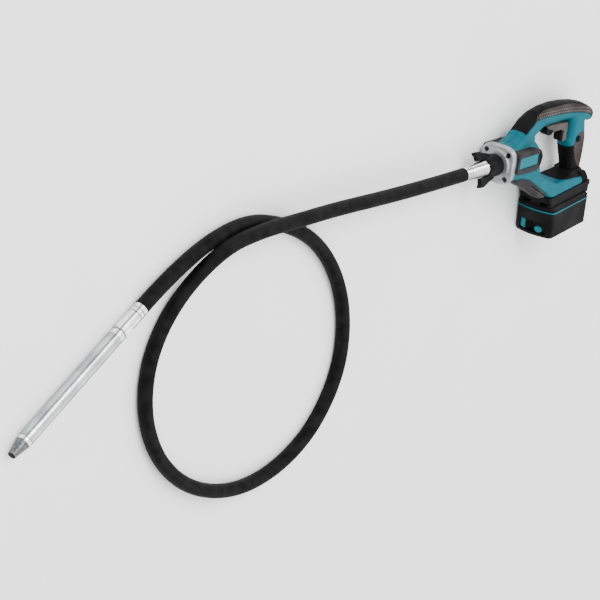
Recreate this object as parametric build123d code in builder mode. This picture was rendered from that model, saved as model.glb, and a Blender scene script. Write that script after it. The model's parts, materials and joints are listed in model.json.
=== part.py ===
from build123d import *
import math
import os

os.makedirs("parts", exist_ok=True)

# Battery concrete vibrator, lying on its right side on a floor at z = 0.
# X runs from the hose towards the rear of the tool, Y is the tool's own up, and Z is the tool's left.
# The motor axis is parallel to X, at y = 0 and at the height of the tool's mid-plane.

# Driving dimensions, in millimetres ---------------------------------------------------------------
rest_height = 37.0          # mid-plane of the tool above the floor, half of its width
wall = 2.6                  # thickness of the moulded casings
skin = 2.2                  # thickness of the soft grips moulded over them
gap = 0.3                   # clearance between pieces that move past each other

flange_front = -48.0        # front face of the cast flange
flange_back = -38.0
bolt_y = 20.5               # half spacings of the four flange bolts
bolt_z = 21.0
drum_radius = 32.5          # round motor housing
drum_rear = 52.0

hose_radius = 11.2
hose_bore = 6.0
core_radius = 3.0           # flexible drive core inside the hose
hose_exit = -148.0          # where the hose meets the crimped ferrule of the tool
lay = 11.3                  # height of the hose axis where it lies on the floor

pack_length = 121.0         # slide-on battery
pack_half_width = 37.0
pack_seam = 46.0            # height of the coloured seam above the bottom of the battery
pack_top = 57.0             # height of its shoulders
pack_tilt = 5.5             # the battery is tilted from the motor axis, in degrees
pack_corner = (109.0, -154.5)

head_length = 294.0         # from the end of the hose to the tip
head_radius = 11.2
tube_start = 61.0           # distances along the head from the end of the hose
tip_start = 262.0

# Points of the hose's route, the corners of runs that are rounded with arcs. It leaves the tool level,
# passes over its own far end with two points at the top of the hump, comes down to the floor
# and makes one wide loop before it reaches the head.
route = [
    (hose_exit, 0, rest_height),
    (-265, 1, 36.4),
    (-385, 5, 35.8),
    (-500, 11, 36.2),
    (-600, 13, 37.0),
    (-690, 15, 37.0),
    (-772, 3, 31.5),
    (-838, -60, 12.4),
    (-887, -135, lay),
    (-888, -222, lay),
    (-847, -305, lay),
    (-777, -370, lay),
    (-693, -411, lay),
    (-602, -428, lay),
    (-509, -414, lay),
    (-433, -370, lay),
    (-387, -290, lay),
    (-392, -201, lay),
    (-432, -118, lay),
    (-504, -46, lay),
    (-597, 0, lay),
    (-705, 26, lay),
    (-836, -7, lay),
    (-921, -60.5, lay),
]

MID = Plane.XY.offset(rest_height)
MOTOR_AXIS = Axis((0, 0, rest_height), (1, 0, 0))


def cross(x, y=0.0):
    """Plane square to the motor axis; its local x is the tool's up."""
    return Plane(origin=(x, y, rest_height), x_dir=(0, 1, 0), z_dir=(1, 0, 0))


def level(y, x=0.0):
    """Plane square to the tool's up direction; its local x runs to the rear."""
    return Plane(origin=(x, y, rest_height), x_dir=(1, 0, 0), z_dir=(0, 1, 0))


def keep(piece, name):
    """Label one finished piece and write it to its own file."""
    piece.part.label = name
    export_step(piece.part, f"parts/{name}.step")


def loft_along_x(stations, inset=0.0):
    """Faceted solid through rounded sections (x, low y, high y, width, corner radius)."""
    with BuildPart() as body:
        for x, low, high, width, corner in stations:
            with BuildSketch(cross(x, (low + high) / 2)):
                RectangleRounded(high - low - 2 * inset, width - 2 * inset, max(corner - inset, 0.6))
        loft(ruled=True)
    return body.part


def loft_along_y(stations, inset=0.0):
    """Faceted solid through rounded sections (y, centre x, depth, width, corner radius)."""
    with BuildPart() as body:
        for y, centre, depth, width, corner in stations:
            with BuildSketch(level(y, centre)):
                RectangleRounded(depth - 2 * inset, width - 2 * inset, max(corner - inset, 0.6))
        loft(ruled=True)
    return body.part


def plate(points, half_width, rounding=0.0, edge=0.0, inset=0.0):
    """Side profile extruded both ways from the mid-plane, its corners and its long edges rounded."""
    with BuildPart() as body:
        with BuildSketch(MID):
            with BuildLine():
                Polyline(*points, close=True)
            make_face()
            if rounding:
                fillet(vertices(), rounding)
            if inset:
                offset(amount=-inset)
        extrude(amount=half_width - inset, both=True)
        if edge:
            fillet(faces().filter_by(Axis.Z).edges(), max(edge - inset, 0.6))
    return body.part


def spun(points, plane=MID, axis=MOTOR_AXIS):
    """Ring or shaft turned from (distance along the axis, radius) points."""
    with BuildPart() as body:
        with BuildSketch(plane):
            with BuildLine():
                Polyline(*points, close=True)
            make_face()
        revolve(axis=axis)
    return body.part


def rod(x_start, x_end, radius, bore=0.0):
    """Round bar on the motor axis, with a bore if one is given."""
    return spun([(x_start, bore), (x_end, bore), (x_end, radius), (x_start, radius)])


def block(x, y, z, round_edges=0.0):
    """Plain block between limits, z counted from the mid-plane."""
    with BuildPart() as body:
        with BuildSketch(MID.offset(z[0])):
            with Locations(((x[0] + x[1]) / 2, (y[0] + y[1]) / 2)):
                Rectangle(x[1] - x[0], y[1] - y[0])
        extrude(amount=z[1] - z[0])
        if round_edges:
            fillet(body.edges().filter_by(Axis.Z), round_edges)
    return body.part


def pin(x, y, z_low, z_high, radius):
    """Round bar square to the mid-plane, z counted from it."""
    with BuildPart() as body:
        with BuildSketch(MID.offset(z_low)):
            with Locations((x, y)):
                Circle(radius)
        extrude(amount=z_high - z_low)
    return body.part


# Outlines of the tool's mouldings -----------------------------------------------------------------
# Top handle: sections (x, low y, high y, width, corner) from the neck over the arch to its tail.
arch = [
    (0, 14, 40, 40, 12),
    (13, 19, 53, 38, 14),
    (29, 26, 67.5, 36, 15),
    (46, 33, 76, 34, 15.5),
    (71, 44, 81, 33, 15.5),
    (103, 45, 82.5, 33, 15.5),
    (136, 45, 80.5, 33, 15),
    (171, 43, 75.5, 33, 14),
    (196, 37, 69.5, 33, 13),
    (214, 33, 62.5, 31, 11),
    (229, 32, 55, 27, 8),
    (238, 34, 48, 20, 5),
]
# Neck: broad web between the round motor housing and the handle.
neck = [
    (flange_back, -4, 28, 43, 12),
    (-22, 0, 31.5, 43, 13),
    (-5, 0, 38, 42, 14),
    (12, 0, 46, 40, 14),
    (28, 0, 47, 38, 13),
    (41, 4, 42, 33, 12),
]
# Rear grip: sections (y, centre x, depth, width, corner) from the foot up into the arch.
grip = [
    (-64, 204, 40, 30, 12),
    (-49, 203.5, 36, 29, 12),
    (-29, 200, 44, 31, 12.5),
    (-10, 195.5, 50.5, 33, 13),
    (5, 191, 55, 34, 13),
    (12, 192, 50, 34, 13),
    (30, 189.5, 45, 33, 13),
    (50, 187, 42, 31, 12),
]
# Foot: soft flare (y, centre x, depth, width, corner) that spreads from the grip over the battery.
flare = [
    (-49, 203, 42, 32.5, 12),
    (-54, 194, 66, 41, 14),
    (-58.5, 176, 104, 54, 14),
    (-63, 166, 124, 58.6, 14),
]
# Lower arm, as a side profile: from the motor housing back and down to the battery.
arm_profile = [
    (flange_back, 6),
    (flange_back, -24),
    (-2, -27.5),
    (22, -34),
    (88, -70),
    (112, -84),
    (200, -84),
    (210, -66),
    (204, -58),
    (120, -56),
    (84, -41.5),
    (67, -37),
    (56, -24),
    (48, 0),
]
arm_half_width = 30.0
# Line on the side of the handle above which it is covered by the soft top grip.
top_grip_region = [
    (9, 44),
    (21, 53),
    (35, 62),
    (50, 65),
    (79, 65),
    (112, 63.5),
    (145, 61),
    (180, 56),
    (206, 50.5),
    (222, 44),
    (250, 37),
    (250, 100),
    (-5, 100),
]
# The soft rear grip lies below a boundary that drops at the front and rises at the rear.
rear_grip_region = [
    (150, -3),
    (168, -6),
    (177, -2),
    (180, 8),
    (187, 17),
    (198, 19),
    (210, 15),
    (240, 12),
    (240, -70),
    (150, -70),
]
bumper_outline = [
    (-37, -11),
    (5, -13),
    (28, -13),
    (37, -3),
    (40, 10),
    (32, 22),
    (19, 25),
    (-35, 25),
]
window = ((-32.0, 27.0), (-3.0, 17.0))
strip_profile = [
    (-28, -24),
    (-2, -24),
    (22, -30),
    (90, -68),
    (86, -75),
    (66, -73),
    (13, -46),
    (-12, -35),
]
drum_dome = 14.0
tail_end = 235.6            # where the handle's core ends under the soft skin of the tail

PACK = Plane(
    origin=(pack_corner[0], pack_corner[1], rest_height),
    x_dir=(math.cos(math.radians(pack_tilt)), math.sin(math.radians(pack_tilt)), 0),
    z_dir=(-math.sin(math.radians(pack_tilt)), math.cos(math.radians(pack_tilt)), 0),
)
mount_low = pack_top + 8.3  # the tool's battery mount, above the bottom of the battery
mount_high = pack_top + 18


def pack_block(s, u, z, round_edges=0.0):
    """Block in the battery's own frame: s along it, u up it, z counted from the mid-plane."""
    with BuildPart() as body:
        with BuildSketch(PACK.offset(u[0])):
            with Locations(((s[0] + s[1]) / 2, -(z[0] + z[1]) / 2)):
                Rectangle(s[1] - s[0], z[1] - z[0])
        extrude(amount=u[1] - u[0])
        if round_edges:
            fillet(body.edges().filter_by(Axis(PACK.origin, PACK.z_dir)), round_edges)
    return body.part


def pack_outline(u, inset=0.0):
    """Plan of the battery at one height: bowed front, rounded corners."""
    bow = 7.0
    with BuildSketch(PACK.offset(u)) as plan:
        with BuildLine():
            Polyline(
                (bow, pack_half_width),
                (pack_length, pack_half_width),
                (pack_length, -pack_half_width),
                (bow, -pack_half_width),
            )
            ThreePointArc((bow, -pack_half_width), (0, 0), (bow, pack_half_width))
        make_face()
        fillet(plan.vertices().group_by(Axis.X)[0], 9)
        fillet(plan.vertices().group_by(Axis.X)[-1], 8)
        if inset:
            offset(amount=-inset)
    return plan.sketch


def drum(inset=0.0):
    """Round motor housing with a domed rear end."""
    with BuildPart() as body:
        with BuildSketch(cross(flange_back)):
            Circle(drum_radius - inset)
        extrude(amount=drum_rear - flange_back - inset)
        fillet(body.faces().sort_by(Axis.X)[-1].edges(), drum_dome - inset)
    return body.part


def region(points):
    """Space inside a side profile through the whole width, for parting the mouldings."""
    return plate(points, 80.0)


def mouldings(shell, covered):
    """Whole tool body, or the space inside it when inset by its walls."""
    with BuildPart() as body:
        add(drum(shell))
        add(loft_along_x(neck, shell))
        add(loft_along_x(arch[:-1] if covered else arch, covered))
        add(loft_along_y(grip, covered))
        add(plate(arm_profile, arm_half_width, 3, 7, shell))
    return body.part


pack_space = pack_block((-80, 200), (-60, mount_high), (-60, 60))
arch_solid = loft_along_x(arch)
grip_solid = loft_along_y(grip)
neck_solid = loft_along_x(neck)
arm_solid = plate(arm_profile, arm_half_width, 3, 7)


def within(solid, points):
    """The part of a solid that lies inside a side profile."""
    with BuildPart() as body:
        add(solid)
        add(region(points), mode=Mode.INTERSECT)
    return body.part


# Soft grips moulded over the handle ---------------------------------------------------------------
handle_core = within(loft_along_x(arch, skin), [(-5, 0), (tail_end, 0), (tail_end, 99), (-5, 99)])
grip_core = loft_along_y(grip, skin)
button_x, button_y = 186.5, 8.5     # lock button on the left side of the grip
button_radius = 5.0
trigger_pivot = (94.0, 50.0)
pivot_radius = 2.0
trigger_slot = block((160, 180), (14, 37), (-4.3, 4.3))
button_hole = pin(button_x, button_y, 5, 40, button_radius + gap)

with BuildPart() as top_grip:
    add(arch_solid)
    add(region(top_grip_region), mode=Mode.INTERSECT)
    add(handle_core, mode=Mode.SUBTRACT)
    add(neck_solid, mode=Mode.SUBTRACT)
keep(top_grip, "top_grip")

with BuildPart() as rear_grip:
    add(grip_solid)
    add(region(rear_grip_region), mode=Mode.INTERSECT)
    add(grip_core, mode=Mode.SUBTRACT)
    add(arm_solid, mode=Mode.SUBTRACT)
    add(pack_space, mode=Mode.SUBTRACT)
    add(button_hole, mode=Mode.SUBTRACT)
keep(rear_grip, "rear_grip")

heel_profile = [(200, -52), (215, -50), (225, -60), (231, -72), (233, -84), (204, -84)]
with BuildPart() as foot_cover:
    add(loft_along_y(flare))
    add(plate(heel_profile, arm_half_width - 0.7, 2, 6))
    add(grip_solid, mode=Mode.SUBTRACT)
    add(arm_solid, mode=Mode.SUBTRACT)
    add(pack_space, mode=Mode.SUBTRACT)
keep(foot_cover, "foot_cover")

# Housing halves, joined along the mid-plane -------------------------------------------------------
screw_places = [(-20, 36), (22, 44), (120, 55), (206, 45), (100, -62), (150, -66), (192, -66)]
screw_seats = [-16.0, -15.0, -12.5, -11.0, -25.0, -25.0, -25.0]
screw_shaft = 1.5
screw_head = 3.0
screw_reach = 8.0           # how far a screw passes the mid-plane
boss_radius = 3.8

with BuildPart() as hollow:
    add(mouldings(wall, wall + skin))
    for (x, y), seat in zip(screw_places, screw_seats):
        add(pin(x, y, -60, 60, boss_radius), mode=Mode.SUBTRACT)

with BuildPart() as casing:
    add(mouldings(0, 0))
    add(top_grip.part, mode=Mode.SUBTRACT)
    add(rear_grip.part, mode=Mode.SUBTRACT)
    add(pack_space, mode=Mode.SUBTRACT)
    add(trigger_slot, mode=Mode.SUBTRACT)
    add(button_hole, mode=Mode.SUBTRACT)
    add(block((86, 102), (40, 56), (-4.6, 4.6)), mode=Mode.SUBTRACT)
    add(pin(*trigger_pivot, -9, 9, pivot_radius), mode=Mode.SUBTRACT)
    add(hollow.part, mode=Mode.SUBTRACT)
    for (x, y), seat in zip(screw_places, screw_seats):
        add(pin(x, y, seat, screw_reach, screw_shaft), mode=Mode.SUBTRACT)
        add(pin(x, y, -60, seat, screw_head + gap), mode=Mode.SUBTRACT)

with BuildPart() as housing_left:
    add(casing.part)
    split(bisect_by=MID, keep=Keep.TOP)
keep(housing_left, "housing_left")

with BuildPart() as housing_right:
    add(casing.part)
    split(bisect_by=MID, keep=Keep.BOTTOM)
keep(housing_right, "housing_right")

with BuildPart() as housing_screws:
    for (x, y), seat in zip(screw_places, screw_seats):
        add(pin(x, y, seat, screw_reach, screw_shaft))
        add(pin(x, y, seat - 2.2, seat, screw_head))
keep(housing_screws, "housing_screws")

# Bumpers and blank nameplates on both sides -------------------------------------------------------
window_x, window_y = window
for side, face_depth in ((1, 1.5), (-1, 0.0)):
    outer = side * rest_height
    with BuildPart() as bumper:
        with BuildSketch(MID):
            with BuildLine():
                Polyline(*bumper_outline, close=True)
            make_face()
            fillet(vertices(), 7)
        extrude(amount=outer)
        fillet(faces().sort_by(Axis.Z)[-1 if side > 0 else 0].edges(), 2)
        with BuildSketch(MID):
            with Locations((sum(window_x) / 2, sum(window_y) / 2)):
                RectangleRounded(window_x[1] - window_x[0], window_y[1] - window_y[0], 4)
        extrude(amount=outer, mode=Mode.SUBTRACT)
        add(drum(), mode=Mode.SUBTRACT)
        add(neck_solid, mode=Mode.SUBTRACT)
        add(arm_solid, mode=Mode.SUBTRACT)
    keep(bumper, "side_bumper_left" if side > 0 else "side_bumper_right")

    with BuildPart() as nameplate:
        with BuildSketch(MID):
            with Locations((sum(window_x) / 2, sum(window_y) / 2)):
                RectangleRounded(window_x[1] - window_x[0], window_y[1] - window_y[0], 4)
        extrude(amount=outer - side * face_depth)
        fillet(faces().sort_by(Axis.Z)[-1 if side > 0 else 0].edges(), 0.8)
        add(drum(), mode=Mode.SUBTRACT)
        add(neck_solid, mode=Mode.SUBTRACT)
        add(arm_solid, mode=Mode.SUBTRACT)
    keep(nameplate, "nameplate_left" if side > 0 else "nameplate_right")

key_across = 4.0            # hexagon key held in a slot of the lower bumper, on the left
key_channel = 26.5
key_run = Plane(origin=(30, -44.5, rest_height + key_channel), x_dir=(0, 0, 1), z_dir=(60, -32, 0))
key_length = 58.0
with BuildPart() as hex_key:
    with BuildSketch(key_run):
        RegularPolygon(key_across / 2, 6, major_radius=False)
    extrude(amount=key_length)
    chamfer(faces().group_by(Axis.X)[0].edges(), 0.4)
keep(hex_key, "hex_key")

bumper_inner = 12.0         # the lower bumper is on the tool's left side only, between these heights
bumper_outer = 29.0
with BuildPart() as lower_bumper:
    with BuildSketch(MID.offset(bumper_inner)):
        with BuildLine():
            Polyline(*strip_profile, close=True)
        make_face()
        fillet(vertices(), 3)
    extrude(amount=bumper_outer - bumper_inner)
    fillet(faces().sort_by(Axis.Z)[-1].edges(), 4)
    add(drum(), mode=Mode.SUBTRACT)
    add(arm_solid, mode=Mode.SUBTRACT)
    with BuildSketch(key_run.offset(-gap)):
        with Locations((-key_across / 2 - 2 * gap, 0)):
            Rectangle(40, key_across + 2 * gap, align=(Align.MIN, Align.CENTER))
    extrude(amount=key_length + 20, mode=Mode.SUBTRACT)
keep(lower_bumper, "lower_bumper")

# Cast front flange and the hose coupling ----------------------------------------------------------
boss_outer = 15.4
boss_bore = 12.1
bolt_radius = 2.7
bolt_head = 4.5
with BuildPart() as front_flange:
    with BuildSketch(cross(flange_back, 1)):
        RectangleRounded(64, 65, 20)
    extrude(amount=flange_front - flange_back)
    fillet(faces().sort_by(Axis.X)[0].edges(), 2.5)
    add(spun([(flange_front, boss_bore), (-58, boss_bore), (-58, boss_outer), (-51, boss_outer),
              (-51, 25), (flange_front, 26), (flange_front + 1, 26), (flange_front + 1, boss_bore)]))
    add(spun([(flange_back - 1, 11), (-34, 11), (-34, 29), (flange_back - 1, 29)]))
    add(spun([(-60, 0), (-30, 0), (-30, 11), (-44, 11), (-44, boss_bore), (-60, boss_bore)]),
        mode=Mode.SUBTRACT)
    with BuildSketch(cross(flange_front, -2)):
        with Locations((0, -25.5)):
            Circle(2.6)
    extrude(amount=-1.6)
    with Locations(cross(flange_front)):
        with GridLocations(2 * bolt_y, 2 * bolt_z, 2, 2):
            Hole(bolt_radius)
    with BuildSketch(cross(flange_front - 4)):
        with GridLocations(2 * bolt_y, 2 * bolt_z, 2, 2):
            Circle(bolt_head)
    extrude(amount=8.5, mode=Mode.SUBTRACT)
keep(front_flange, "front_flange")

with BuildPart() as flange_bolts:
    with BuildSketch(cross(-46.5)):
        with GridLocations(2 * bolt_y, 2 * bolt_z, 2, 2):
            Circle(bolt_head - gap)
            RegularPolygon(2.0, 6, mode=Mode.SUBTRACT)
    extrude(amount=3)
    with BuildSketch(cross(-43.5)):
        with GridLocations(2 * bolt_y, 2 * bolt_z, 2, 2):
            Circle(bolt_radius)
    extrude(amount=5.5)
keep(flange_bolts, "flange_bolts")

wing_tilt = 21.0            # wings of the coupling ring, turned from the tool's up
wing_thickness = 8.0
wing_outline = [
    (-64, 15),
    (-64, 20),
    (-81, 24),
    (-96, 29),
    (-110, 29),
    (-104, 22),
    (-102, 14.2),
    (-84, 14.2),
]
wing_plane = MID.rotated((-wing_tilt, 0, 0))
with BuildPart() as coupling_ring:
    add(spun([(-84, 13.7), (-84, 14.8), (-68, 18.6), (-52, 18.6), (-52, boss_outer + 0.05),
              (-58.4, boss_outer + 0.05), (-58.4, 13.7)]))
    for side in (1, -1):
        with BuildSketch(wing_plane):
            with BuildLine():
                Polyline(*[(x, side * r) for x, r in wing_outline], close=True)
            make_face()
            fillet(vertices().group_by(Axis.X)[0], 2)
        extrude(amount=wing_thickness / 2, both=True)
keep(coupling_ring, "coupling_ring")

ferrule_bore = 7.0
with BuildPart() as hose_ferrule:
    add(spun([(hose_exit, ferrule_bore), (hose_exit, 12.3), (-141, 12.3), (-140.4, 11.8), (-139, 11.8),
              (-138.4, 12.3), (-134, 12.3), (-133.4, 11.8), (-132, 11.8), (-131.4, 12.3), (-100, 12.8),
              (-86, 13.2), (-62, 13.4), (-60, 12.0), (-50, 12.0), (-50, ferrule_bore)]))
keep(hose_ferrule, "hose_ferrule")

# Motor --------------------------------------------------------------------------------------------
shaft_radius = 4.0
with BuildPart() as motor_can:
    add(rod(-30, 34, 27.5, 25.0))
    add(rod(32, 34, 25.2, 10.5))
keep(motor_can, "motor_can")

with BuildPart() as magnets:
    with BuildSketch(cross(-24)):
        Circle(25.0)
        Circle(22.0, mode=Mode.SUBTRACT)
        with PolarLocations(23.5, 4, start_angle=45):
            Rectangle(6, 5, mode=Mode.SUBTRACT)
    extrude(amount=44)
keep(magnets, "magnets")

with BuildPart() as armature:
    with BuildSketch(cross(-20)):
        Circle(21.0)
        Circle(shaft_radius, mode=Mode.SUBTRACT)
        with PolarLocations(19.5, 12):
            Rectangle(4.5, 2.4, mode=Mode.SUBTRACT)
    extrude(amount=38)
keep(armature, "armature")

with BuildPart() as commutator:
    with BuildSketch(cross(21)):
        Circle(9.0)
        Circle(shaft_radius, mode=Mode.SUBTRACT)
        with PolarLocations(8.8, 16):
            Rectangle(1.2, 0.6, mode=Mode.SUBTRACT)
    extrude(amount=10)
keep(commutator, "commutator")

with BuildPart() as brushes:
    for side in (1, -1):
        add(block((23, 30), (-3, 3), (min(side * 9.3, side * 16), max(side * 9.3, side * 16))))
keep(brushes, "brushes")

with BuildPart() as brush_holder:
    with BuildSketch(cross(22)):
        Circle(21.5)
        Circle(12.5, mode=Mode.SUBTRACT)
        Rectangle(6 + 2 * 0.05, 60, mode=Mode.SUBTRACT)
    extrude(amount=9.5)
keep(brush_holder, "brush_holder")

with BuildPart() as motor_shaft:
    add(rod(-58, 46, shaft_radius))
keep(motor_shaft, "motor_shaft")

with BuildPart() as fan:
    add(rod(-33.4, -31.6, 23.0, shaft_radius))
    add(rod(-31.6, -26, 8.0, shaft_radius))
    with BuildSketch(cross(-31.6)):
        with PolarLocations(15.5, 9):
            Rectangle(14, 1.4, rotation=20)
    extrude(amount=5)
keep(fan, "fan")

with BuildPart() as motor_bearings:
    for start, stop, outer in ((-43.9, -35.5, 11.0), (36, 43, 10.5)):
        add(rod(start, stop, outer, outer - 2.2))
        add(rod(start, stop, shaft_radius + 2.2, shaft_radius))
        with BuildSketch(cross((start + stop) / 2)):
            Circle(outer - 2.2)
            Circle(shaft_radius + 2.2, mode=Mode.SUBTRACT)
        extrude(amount=0.8, both=True)
keep(motor_bearings, "motor_bearings")

with BuildPart() as rear_bearing_seat:
    add(rod(34, 43, 14.0, 10.5))
    add(rod(43, 45, 14.0, 5.0))
keep(rear_bearing_seat, "rear_bearing_seat")

with BuildPart() as drive_socket:
    add(rod(-74, -46, 6.2))
    add(rod(-58, -45, shaft_radius), mode=Mode.SUBTRACT)
    with BuildSketch(cross(-75)):
        Rectangle(5, 5)
    extrude(amount=14, mode=Mode.SUBTRACT)
keep(drive_socket, "drive_socket")

with BuildPart() as core_drive_end:
    add(rod(hose_exit + gap, -76, 4.2))
    with BuildSketch(cross(-76)):
        Rectangle(5, 5)
    extrude(amount=13)
keep(core_drive_end, "core_drive_end")

# Trigger, its lock and the switch -----------------------------------------------------------------
# Two-finger trigger: a bar below the arch with a lobe at its front and a longer one at its rear.
trigger_profile = [
    (90, 42),
    (100, 43.5),
    (160, 39.4),
    (163, 34),
    (163, 8),
    (152, 6),
    (145, 9),
    (142, 17),
    (144, 25),
    (146, 29),
    (114, 29),
    (110, 25.5),
    (103, 25),
    (96, 27.5),
    (91, 33),
]
trigger_half_width = 7.5
with BuildPart() as trigger:
    add(plate(trigger_profile, trigger_half_width, 1.4, 1.2))
    add(block((90, 99), (41, 53.5), (-4, 4)))
    add(block((161, 172), (18, 28), (-3.5, 3.5)))
    add(pin(*trigger_pivot, -5, 5, pivot_radius + 0.05), mode=Mode.SUBTRACT)
keep(trigger, "trigger")

with BuildPart() as trigger_pin:
    add(pin(*trigger_pivot, -9, 9, pivot_radius))
keep(trigger_pin, "trigger_pin")

with BuildPart() as lock_button:
    add(pin(button_x, button_y, 14.4, 20.5, button_radius))
    fillet(faces().sort_by(Axis.Z)[-1].edges(), 1.2)
keep(lock_button, "lock_button")

with BuildPart() as switch_body:
    add(block((179, 205), (-8, 28), (-8, 8), 2))
    add(block((177.5, 179), (16, 30), (-4, 4)))
keep(switch_body, "switch_body")

with BuildPart() as lock_button_spring:
    with BuildLine() as coil:
        Helix(pitch=1.6, height=4.8, radius=2.4, center=(button_x, button_y, rest_height + 8.8))
    with BuildSketch(Plane(origin=coil.line @ 0, z_dir=coil.line % 0)):
        Circle(0.4)
    sweep(path=coil.line, is_frenet=True)
keep(lock_button_spring, "lock_button_spring")

# Battery mount and battery ------------------------------------------------------------------------
with BuildPart() as battery_mount:
    add(pack_block((-2, pack_length + 7), (mount_low, mount_high), (-31, 31)))
    fillet(faces().sort_by(Axis.X)[0].edges().filter_by(Axis(PACK.origin, PACK.z_dir)), 8)
    for inner, outer, foot, rise in ((27.4, 31, 0.6, 8.3), (22.4, 27.5, 0.6, 3.6)):
        for z in ((inner, outer), (-outer, -inner)):
            add(pack_block((4, pack_length + 2), (pack_top + foot, pack_top + rise), z))
    add(pack_block((pack_length + 1, pack_length + 7), (pack_top - 4, mount_low), (-29, 29)))
keep(battery_mount, "battery_mount")

pack_wall = 2.2
case_draft = 1.2            # how far the bottom of the battery is inside its seam
floor_thickness = pack_wall + 0.2
with BuildPart() as case_hollow:
    add(pack_outline(floor_thickness, case_draft + pack_wall))
    add(pack_outline(pack_seam + 1, 0.3 + pack_wall))
    loft()

screw_ledge = 0.8           # the battery's screw heads lie this far inside its underside
battery_screw_radius = 2.4
battery_screw_places = [(12, 26), (12, -26), (104, 24), (104, -24)]


def battery_screw_rods(low, high):
    """Round bars of the battery's screw heads, between two heights over its underside."""
    with BuildPart() as rods:
        with BuildSketch(PACK.offset(low)):
            with Locations(*[(s, -z) for s, z in battery_screw_places]):
                Circle(battery_screw_radius)
        extrude(amount=high - low)
    return rods.part


with BuildPart() as battery_lower_case:
    add(pack_outline(0, case_draft))
    add(pack_outline(pack_seam, 0.3))
    loft()
    fillet(faces().sort_by(Axis.Y)[0].edges(), 3)
    add(case_hollow.part, mode=Mode.SUBTRACT)
    add(pack_block((-4, 9.2), (6.2, 25.3), (-25.4, 25.4)), mode=Mode.SUBTRACT)
    add(battery_screw_rods(-1, floor_thickness), mode=Mode.SUBTRACT)
keep(battery_lower_case, "battery_lower_case")

with BuildPart() as battery_seam:
    extrude(pack_outline(pack_seam), amount=2)
    extrude(pack_outline(pack_seam, 0.3 + pack_wall), amount=2, mode=Mode.SUBTRACT)
keep(battery_seam, "battery_seam")

shoulder = pack_top - pack_seam - 2
head_half = 27.0            # half width of the sliding head of the battery
slot_places = [-12.0, 0.0, 12.0]    # terminal slots, open to the rear of the battery
with BuildPart() as battery_upper_case:
    extrude(pack_outline(pack_seam + 2, 0.3), amount=shoulder)
    chamfer(faces().sort_by(Axis.Y)[-1].edges(), 4)
    add(pack_block((10, 112), (pack_top - 1, pack_top + 4), (-22, 22)))
    add(pack_block((10, 112), (pack_top + 4, pack_top + 8), (-head_half, head_half)))
    extrude(pack_outline(pack_seam + 2, 0.3 + pack_wall), amount=shoulder - 5, mode=Mode.SUBTRACT)
    for place in slot_places:
        add(pack_block((84, 113), (pack_top + 2.5, pack_top + 9), (place - 1.2, place + 1.2)),
            mode=Mode.SUBTRACT)
    add(pack_block((3.1, 9.4), (pack_seam, pack_top + 9), (-10.4, 10.4)), mode=Mode.SUBTRACT)
keep(battery_upper_case, "battery_upper_case")

cell_radius = 9.2
cell_half_length = 31.0
cell_pitch = 18.6
with BuildPart() as battery_cells:
    for row in (13.0, 32.0):
        for step in range(-2, 3):
            centre = PACK.from_local_coords((62.5 + step * cell_pitch, 0, row))
            add(pin(centre.X, centre.Y, -cell_half_length, cell_half_length, cell_radius))
keep(battery_cells, "battery_cells")

with BuildPart() as battery_terminals:
    for place in slot_places:
        add(pack_block((86, 114), (pack_top + 3.5, pack_top + 7.5), (place - 0.5, place + 0.5)))
keep(battery_terminals, "battery_terminals")

with BuildPart() as terminal_block:
    add(pack_block((114, 118), (pack_top + 1, mount_low), (-20, 20)))
keep(terminal_block, "terminal_block")

# The release button is one piece with the hook that holds the battery in the mount.
release_travel = 2.5
with BuildPart() as battery_latch:
    add(pack_block((3.5, 8.8), (25, pack_top + 8), (-10, 10)))
keep(battery_latch, "battery_latch")

with BuildPart() as release_button:
    with BuildSketch(PACK.offset(9)):
        with BuildLine():
            ThreePointArc((5.9, -25), (-1.2, 0), (5.9, 25))
            Polyline((5.9, 25), (8.6, 25), (8.6, -25), (5.9, -25))
        make_face()
    extrude(amount=16)
    fillet(edges().filter_by(Axis(PACK.origin, PACK.z_dir)).group_by(Axis.X)[0], 1.5)
    with BuildSketch(PACK.offset(4)):
        Circle(9)
    extrude(amount=20, mode=Mode.SUBTRACT)
keep(release_button, "release_button")

with BuildPart() as battery_screws:
    add(battery_screw_rods(screw_ledge, floor_thickness))
keep(battery_screws, "battery_screws")

# Flexible shaft: rubber casing round the steel core -----------------------------------------------


def bend_radii(points):
    """Radius of the arc at each corner of a route, as large as its two runs allow."""
    radii = []
    for before, corner, after in zip(points, points[1:], points[2:]):
        inward = Vector(*corner) - Vector(*before)
        onward = Vector(*after) - Vector(*corner)
        half_turn = math.radians(inward.get_angle(onward)) / 2
        radii.append(0.45 * min(inward.length, onward.length) / math.tan(half_turn))
    return radii


radii = bend_radii(route)
print("hose bend radii:", [round(radius) for radius in radii])
with BuildLine() as hose_path:
    FilletPolyline(*route, radius=radii)
hose_start = Plane(origin=hose_path.line @ 0, z_dir=hose_path.line % 0)

with BuildPart() as hose_casing:
    with BuildSketch(hose_start):
        Circle(hose_radius)
        Circle(hose_bore, mode=Mode.SUBTRACT)
    sweep(path=hose_path.line)
keep(hose_casing, "hose_casing")

with BuildPart() as drive_core:
    with BuildSketch(hose_start):
        Circle(core_radius)
    sweep(path=hose_path.line)
keep(drive_core, "drive_core")

hose_length = hose_path.wire().length
ring_section = math.pi * (hose_radius**2 - hose_bore**2)
print("hose length:", round(hose_length, 1), "mm")
print("volume over section times length:", round(hose_casing.part.volume / (ring_section * hose_length), 4))

# Vibrating head, in line with the last run of the hose --------------------------------------------
hose_end = Vector(*route[-1])
head_way = (hose_end - Vector(*route[-2])).normalized()
HEAD = Plane(origin=hose_end, x_dir=head_way, z_dir=(0, 0, 1))
HEAD_AXIS = Axis(hose_end, head_way)
print("head direction:", head_way)


def head_ring(points):
    """Ring of the head, turned from (distance from the hose, radius) points."""
    return spun(points, HEAD, HEAD_AXIS)


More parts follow.
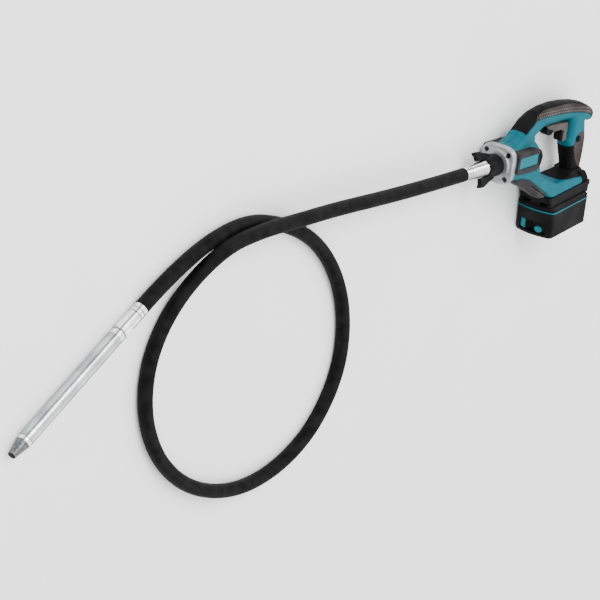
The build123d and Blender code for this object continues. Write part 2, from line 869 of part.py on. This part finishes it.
def head_square(distance):
    """Plane square to the head's axis; its local y is up."""
    return Plane(origin=hose_end + head_way * distance, x_dir=HEAD.y_dir, z_dir=head_way)


tube_bore = 9.0
with BuildPart() as head_ferrule:
    add(head_ring([(0, 7), (0, 11.3), (6, 11.3), (6.5, 10.9), (7.5, 10.9), (8, 11.3), (13, 11.3),
                   (13.5, 10.9), (14.5, 10.9), (15, 11.3), (35, 11.3), (35, 7)]))
keep(head_ferrule, "head_ferrule")

with BuildPart() as head_nut:
    add(head_ring([(35, 7), (35, 12.2), (50, 12.2), (50, 7)]))
    with BuildSketch(head_square(34)):
        Rectangle(40, 22.4)
    extrude(amount=20, mode=Mode.INTERSECT)
    chamfer(edges().filter_by(GeomType.CIRCLE).group_by(SortBy.RADIUS)[-1], 0.6)
keep(head_nut, "head_nut")

with BuildPart() as head_collar:
    add(head_ring([(50, 7), (50, 10.4), (52, 10.4), (52, 11.2), (tube_start, 11.2), (tube_start, 7)]))
keep(head_collar, "head_collar")

with BuildPart() as head_tube:
    add(head_ring([(tube_start, tube_bore), (tube_start, head_radius - 0.5), (tube_start + 0.5, head_radius),
                   (tip_start, head_radius), (tip_start, tube_bore)]))
keep(head_tube, "head_tube")

with BuildPart() as head_tip:
    add(head_ring([(tip_start - 12, 0), (tip_start - 12, tube_bore), (tip_start, tube_bore),
                   (tip_start, head_radius), (tip_start + 4, head_radius), (head_length - 1.5, 6.2),
                   (head_length, 5.0), (head_length, 0)]))
    with BuildSketch(HEAD.offset(0)):
        for side in (1, -1):
            with BuildLine():
                Polyline((tip_start + 8, side * 12), (head_length + 1, side * 12),
                         (head_length + 1, side * 4.2), close=True)
            make_face()
    extrude(amount=20, both=True, mode=Mode.SUBTRACT)
keep(head_tip, "head_tip")

rotor_radius = 5.0
weight_radius = 8.2         # half-round weight that makes the head shake
with BuildPart() as eccentric_rotor:
    add(head_ring([(4, 0), (4, 4), (86, 4), (86, rotor_radius), (tip_start - 20, rotor_radius),
                   (tip_start - 20, 0)]))
    with BuildSketch(head_square(100)):
        with BuildLine():
            CenterArc((0, 0), weight_radius, 0, 180)
            Line((-weight_radius, 0), (weight_radius, 0))
        make_face()
    extrude(amount=120)
keep(eccentric_rotor, "eccentric_rotor")

with BuildPart() as head_bearings:
    for start in (88, 228):
        for first, last, inner, outer in ((0, 8, 7.6, tube_bore), (0, 8, rotor_radius, 6.4), (3, 5, 6.4, 7.6)):
            add(head_ring([(start + first, inner), (start + first, outer),
                           (start + last, outer), (start + last, inner)]))
keep(head_bearings, "head_bearings")

with BuildPart() as head_seal:
    add(head_ring([(66, 4.05), (66, tube_bore), (72, tube_bore), (72, 4.05)]))
keep(head_seal, "head_seal")
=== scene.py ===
"""Battery concrete vibrator: its looks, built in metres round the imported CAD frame."""
import json
import math

import bmesh
import bpy
from mathutils import Matrix, Vector
from mathutils.bvhtree import BVHTree


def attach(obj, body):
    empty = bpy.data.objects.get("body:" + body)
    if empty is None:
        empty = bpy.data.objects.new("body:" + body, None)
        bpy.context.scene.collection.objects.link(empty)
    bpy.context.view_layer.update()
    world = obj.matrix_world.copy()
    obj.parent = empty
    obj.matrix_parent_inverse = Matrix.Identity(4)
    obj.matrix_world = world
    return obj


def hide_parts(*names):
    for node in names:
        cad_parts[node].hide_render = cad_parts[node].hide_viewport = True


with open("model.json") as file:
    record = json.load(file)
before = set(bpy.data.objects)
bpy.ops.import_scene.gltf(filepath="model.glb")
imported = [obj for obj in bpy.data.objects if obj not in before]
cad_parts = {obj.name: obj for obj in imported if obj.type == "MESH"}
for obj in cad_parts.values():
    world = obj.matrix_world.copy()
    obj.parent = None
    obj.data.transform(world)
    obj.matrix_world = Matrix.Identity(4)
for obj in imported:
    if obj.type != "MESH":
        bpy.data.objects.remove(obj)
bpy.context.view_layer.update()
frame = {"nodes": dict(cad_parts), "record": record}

MM = 0.001
REST = 37 * MM              # mid-plane of the tool above the floor


def linked(name, data):
    """New object in the scene."""
    thing = bpy.data.objects.new(name, data)
    bpy.context.scene.collection.objects.link(thing)
    return thing


# Camera ------------------------------------------------------------------------------------------
CAMERA_PLACE = (-3.78966, 1.30799, 2.14846)
CAMERA_RIGHT = Vector((0.58347, 0.13304, 0.80116))
CAMERA_UP = Vector((0.21006, 0.92820, -0.30711))
CAMERA_FORWARD = Vector((0.78450, -0.34748, -0.51363))


def make_camera():
    """Long lens looking down on the tool's left side, turned so that the tool stands upright."""
    data = bpy.data.cameras.new("camera")
    data.sensor_width = 36
    data.lens = 165.26
    data.clip_end = 60
    camera = linked("camera", data)
    turn = Matrix((CAMERA_RIGHT, CAMERA_UP, -CAMERA_FORWARD)).transposed().to_4x4()
    camera.matrix_world = Matrix.Translation(CAMERA_PLACE) @ turn
    bpy.context.scene.camera = camera


make_camera()


# Materials ---------------------------------------------------------------------------------------
def noise(nodes, links, scale, detail):
    """Noise over the object's own coordinates."""
    place = nodes.new("ShaderNodeTexCoord")
    grain = nodes.new("ShaderNodeTexNoise")
    grain.inputs["Scale"].default_value = scale
    grain.inputs["Detail"].default_value = detail
    links.new(place.outputs["Object"], grain.inputs["Vector"])
    return grain


def ramp(nodes, links, source, low, high, start=0.35, stop=0.65):
    """Colours or greys spread over a stretch of a texture's values."""
    spread = nodes.new("ShaderNodeValToRGB")
    spread.color_ramp.elements[0].position = start
    spread.color_ramp.elements[1].position = stop
    spread.color_ramp.elements[0].color = (*low, 1)
    spread.color_ramp.elements[1].color = (*high, 1)
    links.new(source, spread.inputs["Fac"])
    return spread.outputs["Color"]


def grey(value):
    """Neutral colour of one value."""
    return (value, value, value)


def grained(name, low, high, rough, grain, height, patch=25.0, specular=0.5, metallic=0.0):
    """Surface with slow colour patches, uneven roughness and a fine raised grain.

    The colour runs from low to high at the scale called patch and the roughness over rough at
    the scale called grain, which also raises the surface by height in metres.
    """
    material = bpy.data.materials.new(name)
    material.use_nodes = True
    nodes, links = material.node_tree.nodes, material.node_tree.links
    shader = nodes["Principled BSDF"]
    patches = noise(nodes, links, patch, detail=5)
    fine = noise(nodes, links, grain, detail=3)
    colour = ramp(nodes, links, patches.outputs["Fac"], low, high)
    links.new(colour, shader.inputs["Base Color"])
    roughness = ramp(nodes, links, fine.outputs["Fac"], grey(rough[0]), grey(rough[1]),
                     start=0.3, stop=0.7)
    links.new(roughness, shader.inputs["Roughness"])
    shader.inputs["Metallic"].default_value = metallic
    shader.inputs["Specular IOR Level"].default_value = specular
    bump = nodes.new("ShaderNodeBump")
    bump.inputs["Strength"].default_value = 0.5
    bump.inputs["Distance"].default_value = height
    links.new(fine.outputs["Fac"], bump.inputs["Height"])
    links.new(bump.outputs["Normal"], shader.inputs["Normal"])
    return material


teal = grained("teal_plastic", low=(0.0, 0.075, 0.1), high=(0.0, 0.092, 0.122),
               rough=(0.36, 0.48), grain=2600, height=0.00006, specular=0.08)
teal_bright = grained("teal_bright_plastic", low=(0.0, 0.1, 0.13), high=(0.0, 0.125, 0.155),
                      rough=(0.32, 0.44), grain=1800, height=0.00004, specular=0.1)
soft_black = grained("soft_black_rubber", low=grey(0.0022), high=(0.006, 0.0055, 0.0055),
                     rough=(0.5, 0.66), grain=1700, height=0.00012, specular=0.04)
# Grey grip rubber: real on the rear grip's palm panels, a painted highlight on the top grip's side
# panels
grip_grey_and_highlight = grained("grip_grey_rubber_and_painted_highlight", low=(0.022, 0.0185, 0.0175), high=(0.045, 0.039, 0.037),
                    rough=(0.6, 0.75), grain=900, height=0.00025, specular=0.06)
bumper = grained("bumper_rubber", low=(0.016, 0.0145, 0.0155), high=(0.032, 0.029, 0.031),
                 rough=(0.5, 0.66), grain=1500, height=0.0001, specular=0.06)
nylon = grained("black_nylon", low=(0.002, 0.002, 0.0024), high=(0.006, 0.006, 0.0064),
                rough=(0.42, 0.56), grain=2200, height=0.00006, specular=0.06)
# Grey of the trigger's side, a painted highlight on the black trigger
trigger_highlight_grey = grained("trigger_highlight_grey", low=(0.042, 0.038, 0.037), high=(0.062, 0.058, 0.056),
                       rough=(0.5, 0.64), grain=1900, height=0.00008, specular=0.06)
case_black = grained("battery_plastic", low=(0.003, 0.0028, 0.003), high=(0.011, 0.0102, 0.0102),
                     rough=(0.42, 0.6), grain=1000, height=0.0002, specular=0.05)
hose_black = grained("hose_rubber", low=grey(0.002), high=grey(0.0065),
                     rough=(0.5, 0.7), grain=620, height=0.0006, patch=60, specular=0.05)
cast = grained("cast_aluminium", low=(0.25, 0.255, 0.27), high=(0.4, 0.405, 0.42),
               rough=(0.36, 0.52), grain=900, height=0.0001, patch=60, metallic=0.9)
satin = grained("satin_steel", low=(0.30, 0.31, 0.32), high=(0.52, 0.53, 0.54),
                rough=(0.16, 0.34), grain=500, height=0.00008, patch=35, metallic=1.0)
polished = grained("polished_steel", low=(0.62, 0.62, 0.62), high=(0.85, 0.85, 0.84),
                   rough=(0.12, 0.26), grain=700, height=0.00005, patch=120, metallic=1.0)
ground = grained("ground_steel", low=(0.06, 0.062, 0.065), high=(0.16, 0.162, 0.165),
                 rough=(0.3, 0.5), grain=900, height=0.00012, patch=220, metallic=0.9)
dark_steel = grained("dark_steel", low=(0.03, 0.03, 0.032), high=(0.06, 0.06, 0.062),
                     rough=(0.3, 0.45), grain=900, height=0.00004, metallic=1.0)
copper = grained("copper", low=(0.55, 0.26, 0.15), high=(0.72, 0.38, 0.24),
                 rough=(0.25, 0.4), grain=700, height=0.00004, metallic=1.0)
lamination = grained("lamination_steel", low=(0.22, 0.22, 0.23), high=(0.36, 0.36, 0.37),
                     rough=(0.3, 0.5), grain=900, height=0.00006, metallic=1.0)
magnet = grained("sintered_magnet", low=(0.04, 0.04, 0.045), high=(0.07, 0.07, 0.075),
                 rough=(0.5, 0.7), grain=900, height=0.0001, metallic=0.6)
cell = grained("cell_wrap", low=(0.02, 0.09, 0.24), high=(0.03, 0.12, 0.3),
               rough=(0.2, 0.3), grain=400, height=0.00003)
# Lighter grey of the top grip's studs, a painted highlight on the lit side of the black grip
stud_highlight_grey = grained("stud_painted_highlight", low=(0.09, 0.082, 0.078), high=(0.14, 0.13, 0.125),
                    rough=(0.5, 0.65), grain=900, height=0.0001, specular=0.08)
floor_paper = grained("floor_paper", low=grey(0.86), high=grey(0.9),
                      rough=(0.75, 0.9), grain=40, height=0.0001, patch=2)

SLOT_LOOK = {
    "teal_housing": teal, "teal_plate": teal_bright, "soft_black": soft_black,
    "black_nylon": nylon, "bumper_grey": bumper, "battery_black": case_black,
    "cast_flange": cast, "satin_steel": satin, "dark_steel": dark_steel,
    "hose_rubber": hose_black, "magnet_grey": magnet, "lamination": lamination,
    "copper": copper, "carbon": nylon, "cell_wrap": cell,
}
NODE_SLOT = {entry["node"]: entry["material_slot"] for entry in frame["record"]["subparts"]}
BODIES = frame["record"]["behaviour"]["bodies"]
NODE_BODY = {node: body for body, nodes in BODIES.items() for node in nodes}

for node_name, node_object in frame["nodes"].items():
    for material_slot in node_object.material_slots:
        material_slot.material = SLOT_LOOK[NODE_SLOT[node_name]]
for node_name in ("head_ferrule", "head_nut", "head_collar", "hose_ferrule"):
    frame["nodes"][node_name].material_slots[0].material = polished


# Flexible shaft ----------------------------------------------------------------------------------
HOSE_ROUTE = [              # x, y and z in millimetres, from the tool to the head
    (-148, 0, 37), (-265, 1, 36.4), (-385, 5, 35.8), (-500, 11, 36.2),
    (-600, 13, 37), (-690, 15, 37), (-772, 3, 31.5), (-838, -60, 12.4),
    (-887, -135, 11.3), (-888, -222, 11.3), (-847, -305, 11.3), (-777, -370, 11.3),
    (-693, -411, 11.3), (-602, -428, 11.3), (-509, -414, 11.3), (-433, -370, 11.3),
    (-387, -290, 11.3), (-392, -201, 11.3), (-432, -118, 11.3), (-504, -46, 11.3),
    (-597, 0, 11.3), (-705, 26, 11.3), (-836, -7, 11.3), (-921, -60.5, 11.3),
]
HOSE_RADIUS = 11.2 * MM


def make_hose():
    """Rubber casing of the flexible shaft, one smooth line from the tool to the head."""
    data = bpy.data.curves.new("flexible_hose", "CURVE")
    data.dimensions = "3D"
    data.resolution_u = 16
    data.bevel_depth = HOSE_RADIUS
    data.bevel_resolution = 10
    data.use_fill_caps = True
    spline = data.splines.new("NURBS")
    spline.points.add(len(HOSE_ROUTE) - 1)
    for point, (x, y, z) in zip(spline.points, HOSE_ROUTE):
        point.co = (x * MM, y * MM, z * MM, 1)
    spline.order_u = 3
    spline.use_endpoint_u = True
    data.materials.append(hose_black)
    hose = linked("flexible_hose", data)
    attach(hose, "tool")
    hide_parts("hose_casing", "drive_core")


make_hose()


# Mesh helpers ------------------------------------------------------------------------------------
WELD = 2e-6                 # corners of the CAD mesh closer than this are one
OUTSIDE = 80 * MM           # from the mid-plane, beyond every moulding


def refined(node, voxel, rounds, look=None):
    """Softened copy of a CAD node: its hard edges become the small radii of a moulding."""
    mesh = frame["nodes"][node].data.copy()
    work = bmesh.new()
    work.from_mesh(mesh)
    bmesh.ops.remove_doubles(work, verts=work.verts, dist=WELD)
    work.to_mesh(mesh)
    work.free()
    piece = linked(f"{node}_moulded", mesh)
    remesh = piece.modifiers.new("remesh", "REMESH")
    remesh.mode = "VOXEL"
    remesh.voxel_size = voxel
    smooth = piece.modifiers.new("smooth", "SMOOTH")
    smooth.factor = 0.5
    smooth.iterations = rounds
    graph = bpy.context.evaluated_depsgraph_get()
    baked = bpy.data.meshes.new_from_object(piece.evaluated_get(graph))
    piece.modifiers.clear()
    piece.data = baked
    for polygon in baked.polygons:
        polygon.use_smooth = True
    baked.materials.clear()
    baked.materials.append(look or SLOT_LOOK[NODE_SLOT[node]])
    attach(piece, NODE_BODY[node])
    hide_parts(node)
    return piece


def meshed(name, work, smooth=True):
    """Mesh made from a finished bmesh."""
    mesh = bpy.data.meshes.new(name)
    work.to_mesh(mesh)
    work.free()
    for polygon in mesh.polygons:
        polygon.use_smooth = smooth
    return mesh


def add_piece(name, mesh, look, body):
    """Piece of one material that rides on a body."""
    mesh.materials.clear()
    mesh.materials.append(look)
    piece = linked(name, mesh)
    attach(piece, body)
    return piece


def inside(x, y, outline):
    """Whether a point of the side view lies within an outline, both in millimetres."""
    within = False
    for (x1, y1), (x2, y2) in zip(outline, outline[1:] + outline[:1]):
        if (y1 > y) != (y2 > y) and x < (x2 - x1) * (y - y1) / (y2 - y1) + x1:
            within = not within
    return within


def paint(piece, look, outline, depth=0.0):
    """Second material: faces within a side outline and further from the mid-plane than depth."""
    piece.data.materials.append(look)
    index = len(piece.data.materials) - 1
    for polygon in piece.data.polygons:
        x, y, z = polygon.center
        if abs(z - REST) > depth * MM and inside(x / MM, y / MM, outline):
            polygon.material_index = index


def along(points, step):
    """Evenly spaced points along a chain of straight runs in the side view."""
    places = []
    carried = 0.0
    for (x1, y1), (x2, y2) in zip(points, points[1:]):
        length = math.hypot(x2 - x1, y2 - y1)
        distance = carried
        while distance < length:
            share = distance / length
            places.append((x1 + (x2 - x1) * share, y1 + (y2 - y1) * share))
            distance += step
        carried = distance - length
    return places


def shifted(points, dx, dy=0):
    """The same chain of points further along x and y."""
    return [(x + dx, y + dy) for x, y in points]


def studs(name, host, places, radius, height, look):
    """Low round studs seated on both sides of a grip, one under each place of the side view."""
    mesh = host.data
    surface = BVHTree.FromPolygons([vertex.co for vertex in mesh.vertices],
                                   [polygon.vertices for polygon in mesh.polygons])
    squeeze = Matrix.Diagonal((radius * MM, radius * MM, height * MM, 1))
    work = bmesh.new()
    for x, y in places:
        for side in (1, -1):
            start = Vector((x * MM, y * MM, REST + side * OUTSIDE))
            hit, normal = surface.ray_cast(start, Vector((0, 0, -side)))[:2]
            if hit is None:
                continue
            turn = Vector((0, 0, 1)).rotation_difference(normal).to_matrix().to_4x4()
            bmesh.ops.create_icosphere(work, subdivisions=2, radius=1,
                                       matrix=Matrix.Translation(hit) @ turn @ squeeze)
    add_piece(name, meshed(name, work), look, "tool")


# Softened mouldings ------------------------------------------------------------------------------
HOUSING_VOXEL = 0.8 * MM
GRIP_VOXEL = HOUSING_VOXEL * 0.75
SMALL_VOXEL = 0.5 * MM
TIP_VOXEL = 0.4 * MM
JOINT_REACH = 1.2 * MM      # a housing half this close to the mid-plane belongs to its joint
JOINT_GAP = 0.02 * MM       # from the mid-plane to each half once the joint is closed

MOULDED = (                 # CAD nodes, size of their voxels, rounds of smoothing
    (("housing_left", "housing_right"), HOUSING_VOXEL, 20),
    (("top_grip", "rear_grip"), GRIP_VOXEL, 6),
    (("foot_cover",), GRIP_VOXEL, 16),
    (("side_bumper_left", "side_bumper_right", "lower_bumper", "coupling_ring", "front_flange"),
     SMALL_VOXEL, 4),
    (("battery_mount", "battery_upper_case", "battery_lower_case", "release_button",
      "nameplate_left", "nameplate_right"), SMALL_VOXEL, 3),
)
moulded = {name: refined(name, voxel, rounds)
           for names, voxel, rounds in MOULDED for name in names}
# The trigger is moulded in grey, a painted highlight on its side; its black ends are painted below
moulded["trigger"] = refined("trigger", SMALL_VOXEL, rounds=4, look=trigger_highlight_grey)

# The two housing halves meet in a closed line
for name, side in (("housing_left", 1), ("housing_right", -1)):
    for vertex in moulded[name].data.vertices:
        if abs(vertex.co.z - REST) < JOINT_REACH:
            vertex.co.z = REST + side * JOINT_GAP

# Outlines and rows of studs are x and y in the side view, in millimetres.
# Painted highlight in grey on the textured side panels of the top grip, with two rows of studs
# along their lower edge, lighter grey as painted highlight too
GRIP_HIGHLIGHT_PANEL = [(30, 58), (43, 71), (64, 77), (97, 77.5), (129, 77), (163, 73.5), (200, 64),
              (226, 54), (236, 44), (222, 43), (206, 50), (180, 55), (145, 60), (112, 62.5),
              (79, 64), (50, 64), (35, 61)]
GRIP_EDGE = [(47, 67.5), (64, 68.5), (112, 67), (145, 64.5), (180, 59.5), (206, 54.5), (222, 48.5)]
GRIP_STUD_STEP = 6
top_grip = moulded["top_grip"]
# Grey here is a painted highlight on the lit side of the black top grip
paint(top_grip, grip_grey_and_highlight, GRIP_HIGHLIGHT_PANEL, depth=9)
studs("top_grip_studs", top_grip, along(GRIP_EDGE, GRIP_STUD_STEP),
      radius=1.7, height=0.8, look=stud_highlight_grey)
studs("top_grip_studs_upper", top_grip, along(shifted(GRIP_EDGE, dx=3, dy=4.2), GRIP_STUD_STEP),
      radius=1.4, height=0.7, look=stud_highlight_grey)

# Grey palm panels of the rear grip, with two rows of black studs along its front
PALM_PANEL = [(176, 2), (180, 12), (188, 18), (198, 19.5), (212, 16), (222, 0), (230, -30),
              (230, -48), (204, -44), (190, -28), (180, -12)]
FRONT_EDGE = [(176, -8), (180, -22), (184, -40)]
FRONT_STUD_STEP = 5.5
rear_grip = moulded["rear_grip"]
paint(rear_grip, grip_grey_and_highlight, PALM_PANEL, depth=4)
studs("rear_grip_studs", rear_grip, along(FRONT_EDGE, FRONT_STUD_STEP),
      radius=1.3, height=0.6, look=soft_black)
studs("rear_grip_studs_inner", rear_grip, along(shifted(FRONT_EDGE, dx=4.5), FRONT_STUD_STEP),
      radius=1.3, height=0.6, look=soft_black)

# Black rubber ends of the trigger, whose grey body between them is a painted highlight, and
# painted shade in black on the rear end of each side bumper
TRIGGER_FRONT = [(80, 20), (112, 20), (112, 34), (98, 37), (88, 44), (80, 44)]
TRIGGER_REAR = [(138, 2), (149.5, 2), (149.5, 27), (138, 27)]
# Painted shade in black where the nameplate's recess darkens the rear end of the side bumpers
BUMPER_END_SHADE = [(28, -14), (42, -14), (42, 24), (28, 22)]
paint(moulded["trigger"], soft_black, TRIGGER_FRONT)
paint(moulded["trigger"], soft_black, TRIGGER_REAR)
paint(moulded["side_bumper_left"], soft_black, BUMPER_END_SHADE)
paint(moulded["side_bumper_right"], soft_black, BUMPER_END_SHADE)

# The foremost housing screw stands free of the housing in the CAD; here it sits inside the neck
LOOSE_BEFORE = -10 * MM     # only that screw lies in front of this
SCREW_BACK = 17 * MM
SCREW_DOWN = 4 * MM
screws_mesh = frame["nodes"]["housing_screws"].data.copy()
for vertex in screws_mesh.vertices:
    if vertex.co.x < LOOSE_BEFORE:
        vertex.co.x += SCREW_BACK
        vertex.co.y -= SCREW_DOWN
screws = add_piece("housing_screws_seated", screws_mesh, dark_steel, "tool")
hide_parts("housing_screws")


# Battery -----------------------------------------------------------------------------------------
# Its own frame: s along it from its front, u up from its underside, z from the mid-plane
PACK_TILT = math.radians(5.5)
PACK_CORNER = (109 * MM, -154.5 * MM, REST)
PACK_FRAME = Matrix.Translation(PACK_CORNER) @ Matrix.Rotation(PACK_TILT, 4, "Z")


def in_pack(centre, size):
    """Placement of a unit shape in the battery's frame, its centre and size in millimetres."""
    shift = Matrix.Translation([value * MM for value in centre])
    return PACK_FRAME @ shift @ Matrix.Diagonal([value * MM for value in size] + [1])


# Release button, black but for its right end, its round teal thumb pad and the wall behind it
PAD_CENTRE, PAD_RADII = (1.0, 14.5, 13), (2.6, 5.6, 7.4)
WALL_CENTRE, WALL_SIZE = (9.75, 16, 0), (0.9, 22, 54)
BUTTON_SIDE = -13 * MM      # from the mid-plane to the button's teal right end
button = moulded["release_button"].data
button.materials.append(nylon)
for polygon in button.polygons:
    if polygon.center.z - REST > BUTTON_SIDE:
        polygon.material_index = 1

work = bmesh.new()
bmesh.ops.create_icosphere(work, subdivisions=4, radius=1, matrix=in_pack(PAD_CENTRE, PAD_RADII))
add_piece("release_thumb_pad", meshed("release_thumb_pad", work), teal_bright,
          "release_button")

work = bmesh.new()
bmesh.ops.create_cube(work, size=1, matrix=in_pack(WALL_CENTRE, WALL_SIZE))
add_piece("release_recess_wall", meshed("release_recess_wall", work, smooth=False), nylon,
          "battery")

# Tongue inside the battery's seam, which closes the joint between its two cases
SEAM_CENTRE = Vector((60.5 * MM, 47 * MM, 0))
TONGUE_SCALE = (0.988, 4, 0.982, 1)     # of the CAD's seam along s, u and z
tongue_mesh = frame["nodes"]["battery_seam"].data.copy()
squash = (Matrix.Translation(SEAM_CENTRE) @ Matrix.Diagonal(TONGUE_SCALE)
          @ Matrix.Translation(-SEAM_CENTRE))
tongue_mesh.transform(PACK_FRAME @ squash @ PACK_FRAME.inverted())
add_piece("battery_seam_tongue", tongue_mesh, nylon, "battery")


# Metal fittings ----------------------------------------------------------------------------------
HEAD_START = Vector(HOSE_ROUTE[-1]) * MM
HEAD_WAY = (HEAD_START - Vector(HOSE_ROUTE[-2]) * MM).normalized()
TOOL_WAY = Vector((1, 0, 0))
RING_STEPS = 48             # round the fitting
RING_CORNERS = 10           # round the ring's own section
RING_DEPTH = 0.35           # half the section's depth as a share of its width

# Distance along the head and radius, then place along the tool's axis and radius, in millimetres
HEAD_GROOVES = ((7, 10.7), (14, 10.7), (35, 10.75), (51, 10.5), (261.5, 10.75))
FERRULE_GROOVES = ((-139.7, 12.0), (-132.7, 12.0), (-101, 12.5))


def groove(name, centre, way, radius, width):
    """Dark ring let into a round fitting; radius and width in millimetres."""
    work = bmesh.new()
    turn = way.to_track_quat("Z", "Y").to_matrix()
    rows = []
    for step in range(RING_STEPS):
        angle = math.tau * step / RING_STEPS
        spoke = turn @ Vector((math.cos(angle), math.sin(angle), 0))
        row = []
        for corner in range(RING_CORNERS):
            bend = math.tau * corner / RING_CORNERS
            reach = (radius + width * RING_DEPTH * math.cos(bend)) * MM
            rise = width / 2 * math.sin(bend) * MM
            row.append(work.verts.new(centre + spoke * reach + way * rise))
        rows.append(row)
    for here, there in zip(rows, rows[1:] + rows[:1]):
        for corner in range(RING_CORNERS):
            after = (corner + 1) % RING_CORNERS
            work.faces.new((here[corner], here[after], there[after], there[corner]))
    bmesh.ops.recalc_face_normals(work, faces=work.faces)
    add_piece(name, meshed(name, work), ground, "tool")


for number, (distance, radius) in enumerate(HEAD_GROOVES):
    groove(f"head_groove_{number}", HEAD_START + HEAD_WAY * distance * MM, HEAD_WAY, radius,
           width=1.5)
for number, (x, radius) in enumerate(FERRULE_GROOVES):
    groove(f"ferrule_groove_{number}", Vector((x * MM, 0, REST)), TOOL_WAY, radius,
           width=1.4)

# Tip of the head: ground flats on one side and a dark end, by the distance along the head
FLATS_FROM = 268 * MM
END_FROM = 292.5 * MM
FLAT_SIDE = Vector((-0.45, 0.7, 0.55)).normalized()
FLAT_FACING = 0.3           # least cosine between a flat's face and that side
tip = refined("head_tip", TIP_VOXEL, rounds=2, look=polished)
tip.data.materials.append(ground)
tip.data.materials.append(nylon)
for polygon in tip.data.polygons:
    along_head = (polygon.center - HEAD_START).dot(HEAD_WAY)
    if along_head > END_FROM:
        polygon.material_index = 2
    elif along_head > FLATS_FROM and polygon.normal.dot(FLAT_SIDE) > FLAT_FACING:
        polygon.material_index = 1


# Stage -------------------------------------------------------------------------------------------
FLOOR_REACH = 30
LAMPS = (                   # name, place, width, power
    ("key", (-1.6, 2.4, 2.6), 1.6, 120),
    ("fill", (1.6, -2.2, 2.4), 2.2, 30),
    ("back", (2.4, 1.8, 1.6), 1.4, 35),
)
LAMP_AIM = Vector((-0.3, 0, 0))


def make_floor():
    """Pale paper floor."""
    far = FLOOR_REACH
    corners = [(-far, -far, 0), (far, -far, 0), (far, far, 0), (-far, far, 0)]
    mesh = bpy.data.meshes.new("floor")
    mesh.from_pydata(corners, [], [(0, 1, 2, 3)])
    mesh.materials.append(floor_paper)
    linked("floor", mesh)


def make_sky():
    """Soft studio surroundings, brighter overhead."""
    world = bpy.data.worlds.new("world")
    world.use_nodes = True
    nodes, links = world.node_tree.nodes, world.node_tree.links
    direction = nodes.new("ShaderNodeTexCoord")
    parts = nodes.new("ShaderNodeSeparateXYZ")
    links.new(direction.outputs["Generated"], parts.inputs["Vector"])
    sky = ramp(nodes, links, parts.outputs["Z"], grey(0.12), grey(1), start=0.1, stop=0.75)
    links.new(sky, nodes["Background"].inputs["Color"])
    nodes["Background"].inputs["Strength"].default_value = 2.6
    bpy.context.scene.world = world


def make_lamps():
    """Large soft lamps aimed at the tool."""
    for name, place, width, power in LAMPS:
        data = bpy.data.lights.new(name, "AREA")
        data.size = width
        data.energy = power
        lamp = linked(name, data)
        lamp.location = place
        lamp.rotation_euler = (LAMP_AIM - Vector(place)).to_track_quat("-Z", "Y").to_euler()


make_floor()
make_sky()
make_lamps()
